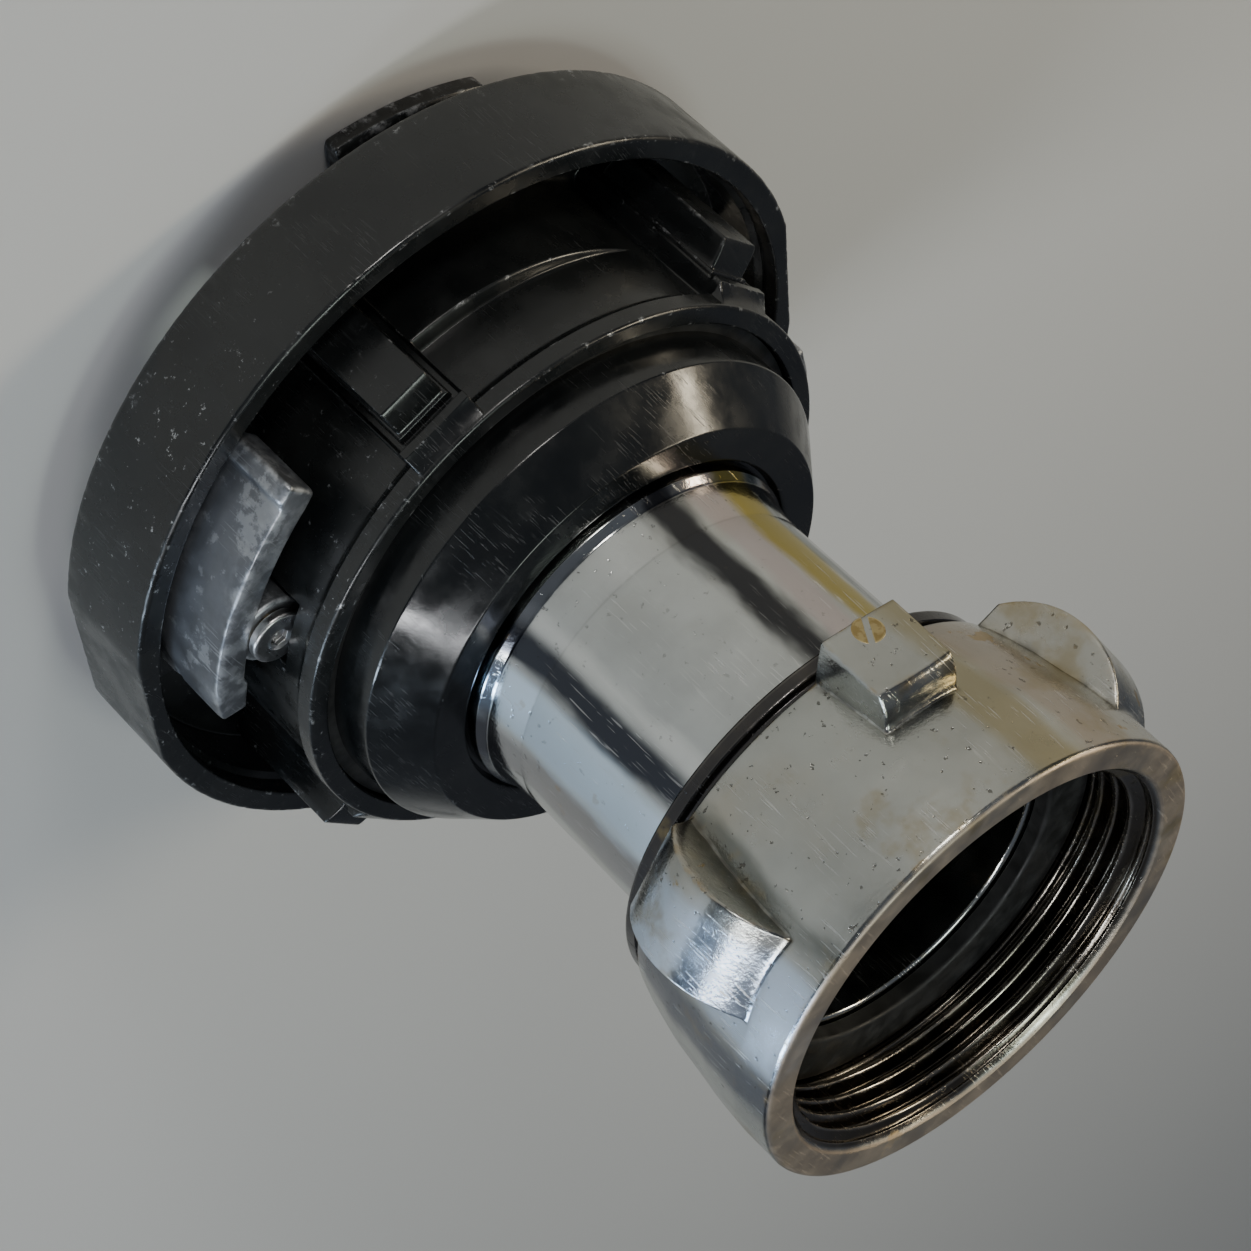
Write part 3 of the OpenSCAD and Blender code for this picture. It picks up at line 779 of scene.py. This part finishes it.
def make_head(black, edge_black):
    ring = turned("head_ring", head_outline(), around(420, arc_edges()), head_move, slot_cells)
    edge_wear(ring, 0.7)
    paint(ring, black)
    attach(ring, "collar")
    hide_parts("storz_collar")
    for name, turn in (("head_claw_1", 0), ("head_claw_2", 180)):
        piece = claw(name, turn)
        edge_wear(piece, 0.9)
        paint(piece, edge_black)
        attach(piece, "collar")


# ------------------------------------------------------- sleeve, tail, neck

THROAT_R, CONE_R, WATER_R = 40, 34, 28.5
GASKET_IN, GASKET_OUT, GASKET_FLOOR, GASKET_PROUD = 41.6, 48.4, 4, 1.6
FLANGE_R, FLANGE_T, SHAFT_R, SHAFT_TOP = 50.9, 6, 44.94, 39
JOINT_R, SLEEVE_TOP, THROAT_TOP = 43, 46, 34
REDUCER_R, REDUCER_BASE, REDUCER_SHOULDER = 49.2, 39.2, 52.4
REDUCER_RIM_R, REDUCER_TOP, RECESS_R, COLLAR_BASE = 42.0, 61.6, 35.2, 59.6
CONE_TOP, NECK_R, NECK_COLLAR_R, NECK_WAIST_R = 50, 32.2, 34, 31.9
RACE_BASE, RACE_R, NECK_TOP = 112, 35.6, 130.7


def lathe_piece(name, corners, body, material, node, longest=2.5, columns=256):
    piece = turned(name, subdivide(fillet_loop(corners), longest), around(columns))
    edge_wear(piece)
    paint(piece, material)
    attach(piece, body)
    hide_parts(node)


def make_sleeve(black):
    corners = [
        (THROAT_R, 0, 0.6), (GASKET_IN, 0, 0.2), (GASKET_IN, GASKET_FLOOR, 0.2),
        (GASKET_OUT, GASKET_FLOOR, 0.2), (GASKET_OUT, 0, 0.2), (FLANGE_R, 0, 0.5),
        (FLANGE_R, FLANGE_T, 0.2), (SHAFT_R, FLANGE_T, 0.2), (SHAFT_R, SHAFT_TOP, 0.2),
        (JOINT_R, SHAFT_TOP, 0.2), (JOINT_R, SLEEVE_TOP, 0.2),
        (CONE_R, SLEEVE_TOP, 0.1), (THROAT_R, THROAT_TOP, 1.0)]
    lathe_piece("sleeve", corners, "body", black, "storz_sleeve")


def make_face_gasket(black_rubber):
    corners = [
        (GASKET_IN + 0.1, GASKET_FLOOR, 0.1), (GASKET_IN + 0.1, -GASKET_PROUD, 0.3),
        (GASKET_OUT - 2.4, -GASKET_PROUD, 0.4), (GASKET_OUT - 1.6, -0.4, 0.3),
        (GASKET_OUT - 0.1, 0.6, 0.2), (GASKET_OUT - 0.1, GASKET_FLOOR, 0.1)]
    lathe_piece("face_gasket", corners, "body", black_rubber, "storz_gasket")


def make_tail_piece(black):
    corners = [
        (JOINT_R, REDUCER_BASE, 0.1), (REDUCER_R, REDUCER_BASE, 0.2), (REDUCER_R, REDUCER_SHOULDER, 0.9),
        (REDUCER_RIM_R, REDUCER_TOP, 0.6), (RECESS_R, REDUCER_TOP, 0.7), (RECESS_R - 0.5, COLLAR_BASE, 0.1),
        (NECK_R + 0.1, COLLAR_BASE, 0.1), (NECK_R + 0.1, CONE_TOP, 0.1), (WATER_R, CONE_TOP, 0.1),
        (CONE_R, SLEEVE_TOP, 0.1), (JOINT_R, SLEEVE_TOP, 0.1)]
    lathe_piece("tail_piece", corners, "body", black, "reducer_body", 1.2)


def make_neck(chrome):
    corners = [
        (WATER_R, CONE_TOP, 0.1), (NECK_R, CONE_TOP, 0.1), (NECK_R, COLLAR_BASE, 0.1),
        (NECK_COLLAR_R, COLLAR_BASE, 0.25), (NECK_COLLAR_R, COLLAR_BASE + 3, 0.5),
        (NECK_WAIST_R + 1, COLLAR_BASE + 4.6, 1.4), (NECK_WAIST_R, 72, 3), (NECK_R, 100, 3),
        (NECK_R, RACE_BASE, 0.4), (RACE_R, RACE_BASE, 0.3),
        (RACE_R, NECK_TOP, 0.6), (WATER_R, NECK_TOP, 0.7)]
    lathe_piece("neck", corners, "body", chrome, "neck_tube", 1.2, 288)


# -------------------------------------------------------------------- swivel

NUT_R, NUT_REAR_R = 45.6, 39.2
ROCKERS = (-57, 63, 183)
ROCKER_CREST, ROCKER_ARC, ROCKER_Z, ROCKER_HALF = 51.5, 17.5, 127, 8.5
ROCKER_REACH = 13.9          # half of a rocker's height
BOSS_DEG, BOSS_HALF, BOSS_R, BOSS_BASE, BOSS_TOP = -120.5, 7.5, 50, 110.6, 129
PLUG_Z, PLUG_R, PLUG_DEPTH, PLUG_SLOT = 115, 2.9, 4, 0.9
CAST = 0.10                  # unevenness of the cast surface
MOUTH_GASKET_IN, MOUTH_GASKET_OUT, MOUTH_GASKET_TOP = 29.7, 38.7, 134.2


def swivel_move(r, z, t):
    """Raises the rocker lugs and the plug's boss, and winds the thread inside."""
    outer = (z > NUT_BASE + 4.6) & (z < MOUTH - 0.3) & (r > 39.6)
    raised = r
    for rocker in ROCKERS:
        a = off(t, rocker)
        arc = np.sqrt(np.maximum(ROCKER_ARC ** 2 - (z - ROCKER_Z) ** 2, 1))
        half = np.where(np.abs(z - ROCKER_Z) < ROCKER_REACH, arc, 0)
        crest = (ROCKER_CREST - ROCKER_ARC + half) / np.maximum(np.cos(a), 0.3)
        side = np.where(np.cos(a) > 0.3, ROCKER_HALF / np.maximum(np.abs(np.sin(a)), 1e-4), 0)
        lug = smin(crest, side, 1.6)
        raised = smax(raised, np.where(np.cos(a) > 0.3, lug, 0), 1.1)
    slope = BOSS_R + (BOSS_TOP - 2.6 - z) * 1.7
    boss = block(t, z, BOSS_DEG, BOSS_HALF, BOSS_R, BOSS_BASE, BOSS_TOP, 41, draft=6, edge=0.8)
    raised = smax(raised, smin(boss, slope, 0.8), 0.9)
    r = np.where(outer, raised, r)
    wall = (np.abs(r - MAJOR) < 0.02) & (z > 134.3) & (z < 148.8)
    turns = (z / PITCH - t / (2 * math.pi)) % 1
    crest = np.clip((1 - np.abs(2 * turns - 1) - 0.16) / 0.62, 0, 1)
    fade = smooth_step(z, 134.6, 136.6) * (1 - smooth_step(z, 146.4, 148.4))
    r = np.where(wall, MAJOR - (MAJOR - MINOR) * crest * fade, r)
    cast = CAST * np.sin(5 * t + z * 0.21) * np.sin(3 * t - z * 0.13)
    return np.where(outer, r - 0.1 - cast * smooth_step(MOUTH - 0.4 - z, 0, 4), r), z


def nut_outline():
    rough = fillet_loop([
        (NUT_BORE, NUT_BASE, 0.3), (NUT_REAR_R, NUT_BASE, 0.7), (NUT_REAR_R, 110.2, 0.5),
        (NUT_REAR_R - 1, 110.8, 0.3), (NUT_REAR_R - 1, 112.0, 0.3), (40.7, 112.5, 0.6), (41.8, 116, 6),
        (43.6, 124, 12), (45.0, 134, 12), (NUT_R, 142, 8), (NUT_R, MOUTH, 1.1),
        (MAJOR + 1.3, MOUTH, 0.4), (MAJOR, MOUTH - 1.3, 0.15), (MAJOR, SEAT + 3.25, 0.1),
        (MAJOR, SEAT, 0.1), (NUT_BORE, SEAT, 0.1)])
    fine = []
    for i, p in enumerate(rough):
        q = rough[(i + 1) % len(rough)]
        inside = abs(p[0] - MAJOR) < 0.02 and abs(q[0] - MAJOR) < 0.02
        outside = p[0] > 39.5 and q[0] > 39.5 and NUT_BASE + 4 < p[1] < MOUTH - 1
        step = 0.2 if inside else 0.4 if outside else 2.0
        n = max(1, math.ceil(np.linalg.norm(q - p) / step))
        fine += [p + (q - p) * k / n for k in range(n)]
    return fine


def make_swivel(plate, brass, black_rubber):
    dense = [(BOSS_DEG + side * 9.2, 1.4, 0.2) for side in (-1, 1)]
    dense += [(rocker + side * 10.2, 1.6, 0.2) for rocker in ROCKERS for side in (-1, 1)]
    nut = turned("swivel_body", nut_outline(), around(400, dense), swivel_move)
    edge_wear(nut, 0.8)
    paint(nut, plate)
    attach(nut, "swivel")
    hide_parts("swivel_nut")
    gasket = [
        (MOUTH_GASKET_IN, SEAT + 0.05, 0.2), (MOUTH_GASKET_OUT, SEAT + 0.05, 0.1),
        (MOUTH_GASKET_OUT, MOUTH_GASKET_TOP, 0.3), (MOUTH_GASKET_IN, MOUTH_GASKET_TOP, 0.7)]
    lathe_piece("mouth_gasket", gasket, "swivel", black_rubber, "swivel_gasket", 1.0)
    outline = fillet_loop([
        (AXIS_R, -PLUG_DEPTH, 0), (PLUG_R, -PLUG_DEPTH, 0.1), (PLUG_R, 0, 0.35), (AXIS_R, 0, 0)])
    plug = turned("race_plug", subdivide(outline, 0.12), around(160), plug_move)
    place = Matrix.Translation((BOSS_R * MM, 0, PLUG_Z * MM)) @ Matrix.Rotation(math.radians(90), 4, "Y")
    shifted(plug, Matrix.Rotation(math.radians(BOSS_DEG), 4, "Z") @ place)
    edge_wear(plug, 0.4)
    paint(plug, brass)
    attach(plug, "swivel")
    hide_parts("ball_plug")


def plug_move(r, z, t):
    """Sinks the screwdriver slot across the plug's end."""
    across = np.abs(r * np.sin(t + 0.5))
    slot = 1 - smooth_step(across, 0.38, 0.52)
    return r, np.where(z > -0.4, z - PLUG_SLOT * slot, z)


# -------------------------------------------------------------------- levers

LEVER_R, LEVER_IN, LEVER_BASE, LEVER_TOP = 66, 60.2, 17.6, 34
THUMB, NOSE = -72, -26       # directions of the lever's two ends
TONGUE = (60.5, 65.2, 8, 22)
EAR_R, EAR_BASE, EAR_TOP, BUSH_R = 6.6, 27.6, 33.7, 4.2
PIN_R, PIN_BASE, PIN_TOP = 2.3, 18, 34.2
SCREW_HEAD_R, SCREW_TOP = 5.2, 36.0
HEX_FLAT, HEX_R, HEX_FLOOR = 1.56, 1.8, 34.8


def lever_section(a):
    """Inner and outer radius and the two heights of the lever's bar in a direction."""
    lip = 1.45 * (1 - smooth_step(a, THUMB + 3.0, THUMB + 3.9))
    swell = 1.5 * smooth_step(a, -52, -49) * (1 - smooth_step(a, -35, -32))
    nose = smooth_step(a, -33, NOSE)
    inner = LEVER_IN - 0.7 * smooth_step(a, -33.5, -32.5) + 0.4 * (1 - smooth_step(a, THUMB, THUMB + 4))
    return inner, LEVER_R + lip - 1.2 * nose, LEVER_BASE - swell + 3.5 * nose, LEVER_TOP - 0.6 * nose


def pivot_place(turn):
    turned_by = Matrix.Rotation(math.radians(PIVOT_DEG + turn), 4, "Z")
    return turned_by @ Matrix.Translation((PIVOT_R * MM, 0, 0))


def hex_move(r, z, t):
    """Turns the round socket in the screw's head into a hexagon."""
    facet = HEX_FLAT / np.cos((t + math.pi / 6) % (math.pi / 3) - math.pi / 6)
    in_socket = (r < HEX_R + 0.15) & (z > HEX_FLOOR - 0.2)
    return np.where(in_socket, r * facet / HEX_R, r), z


def make_lever(letter, turn, grey):
    bar = swept_arc("bar", np.arange(THUMB, NOSE + 0.01, 0.5), lever_section, 0.9, 0.9)
    tongue = swept_arc("tongue", np.arange(NOSE - 6, NOSE - 0.9, 0.5), lambda a: TONGUE, 0.6, 0.6)
    outline = fillet_loop([(BUSH_R, EAR_BASE, 0.1), (EAR_R, EAR_BASE, 0.3), (EAR_R, EAR_TOP, 0.6),
                           (BUSH_R, EAR_TOP, 0.1)])
    ear = turned("ear", subdivide(outline, 1.0), around(96))
    shifted(ear, pivot_place(0))
    lever = joined("lever_" + letter + "_arm", bar, tongue, ear)
    shifted(lever, Matrix.Rotation(math.radians(turn), 4, "Z"))
    edge_wear(lever, 0.9)
    paint(lever, grey)
    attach(lever, "lever_" + letter)
    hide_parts("lock_lever_" + letter)


def make_pivot_screw(letter, turn, steel):
    corners = [
        (AXIS_R, PIN_BASE, 0), (PIN_R, PIN_BASE, 0.2), (PIN_R, PIN_TOP, 0), (SCREW_HEAD_R, PIN_TOP, 0.2),
        (SCREW_HEAD_R, SCREW_TOP, 0.55), (HEX_R + 0.7, SCREW_TOP, 0.35), (HEX_R, SCREW_TOP - 0.3, 0.1),
        (HEX_R, HEX_FLOOR, 0.1), (AXIS_R, HEX_FLOOR - 0.1, 0)]
    screw = turned("pivot_" + letter, subdivide(fillet_loop(corners), 0.8), around(120), hex_move)
    shifted(screw, pivot_place(turn))
    edge_wear(screw, 0.5)
    paint(screw, steel)
    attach(screw, "collar")
    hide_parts("pivot_screw_" + letter)


# ------------------------------------------------------------------ assembly

make_stage(*make_camera())
head_black = black_metal("head_black", 0.27, 0.6)
claw_black = black_metal("claw_black", 0.33, 1.3)
tail_black = black_metal("tail_black", 0.2, 0.1, specks=False)
neck_chrome = plated("neck_chrome", 0.13, 0.25, 0.3, (0.6, 0.62, 0.61), NECK_REFLECTION_BANDS)
nut_chrome = plated("nut_chrome", 0.2, 0.7, 0.8, (0.5, 0.51, 0.48), NUT_REFLECTION_BANDS, True)
brass = simple_metal("plug_brass", (0.42, 0.31, 0.13), (0.66, 0.55, 0.3), 0.35)
steel = simple_metal("screw_steel", (0.5, 0.5, 0.5), (0.75, 0.75, 0.75), 0.3)
grey = simple_metal("lever_grey", (0.2, 0.21, 0.23), (0.55, 0.57, 0.6), 0.4, 200, 0.75, 0.02)
seal = rubber("seal_rubber")
acetal = rubber("acetal", (0.3, 0.29, 0.26))
spring_steel = simple_metal("spring_steel", (0.4, 0.4, 0.42), (0.7, 0.7, 0.7), 0.3)

make_head(head_black, claw_black)
make_sleeve(tail_black)
make_face_gasket(seal)
make_tail_piece(tail_black)
make_neck(neck_chrome)
make_swivel(nut_chrome, brass, seal)
for lever_letter, half_turn in zip("ab", HALF_TURNS):
    make_lever(lever_letter, half_turn, grey)
    make_pivot_screw(lever_letter, half_turn, steel)

CAD_FINISH = (
    (acetal, ("thrust_washer", "bearing_ring")),
    (seal, ("dust_seal", "sleeve_oring", "neck_oring", "grease_seal")),
    (steel, ("neck_lock_screw", "race_balls", "lever_washer_a", "lever_washer_b")),
    (brass, ("lever_bush_a", "lever_bush_b")),
    (spring_steel, ("lever_spring_a", "lever_spring_b")),
)
for finish, names in CAD_FINISH:
    for name in names:
        paint(nodes[name], finish)
